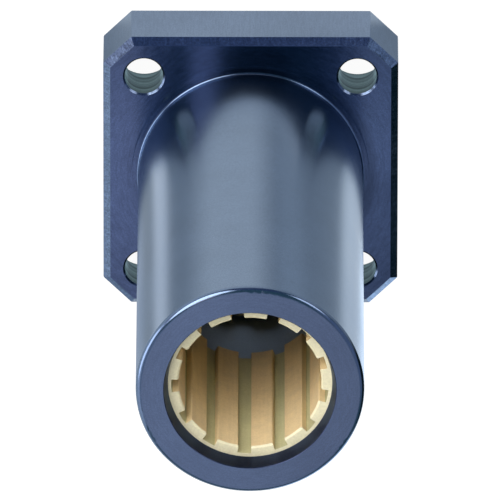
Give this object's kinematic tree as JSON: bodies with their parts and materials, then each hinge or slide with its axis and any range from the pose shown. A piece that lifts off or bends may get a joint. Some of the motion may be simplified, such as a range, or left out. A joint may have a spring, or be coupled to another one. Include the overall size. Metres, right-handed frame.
{
  "type": "square flange linear bearing",
  "caption": "Long square-flange linear plain bearing: a one-piece anodised aluminium housing with through-drilled flange, and fluted split polymer liners that carry a round shaft.",
  "frame": {"origin": "centre of the flange's rear face, on the bore axis; the part stands on that face", "axes": "+Z along the bore from the flange towards the barrel's free end; X and Y square to the flange's sides"},
  "size_m": [0.042, 0.042, 0.08],
  "materials": {
    "housing_anodised": "blue-grey anodised, satin, fine turned and milled lines",
    "liner_polymer": "cream-tan moulded sliding polymer, slightly waxy"
  },
  "bodies": {
    "root": {"flange_housing": "housing_anodised", "liner_barrel_end": "liner_polymer", "liner_flange_end": "liner_polymer"}
  },
  "joints": []
}
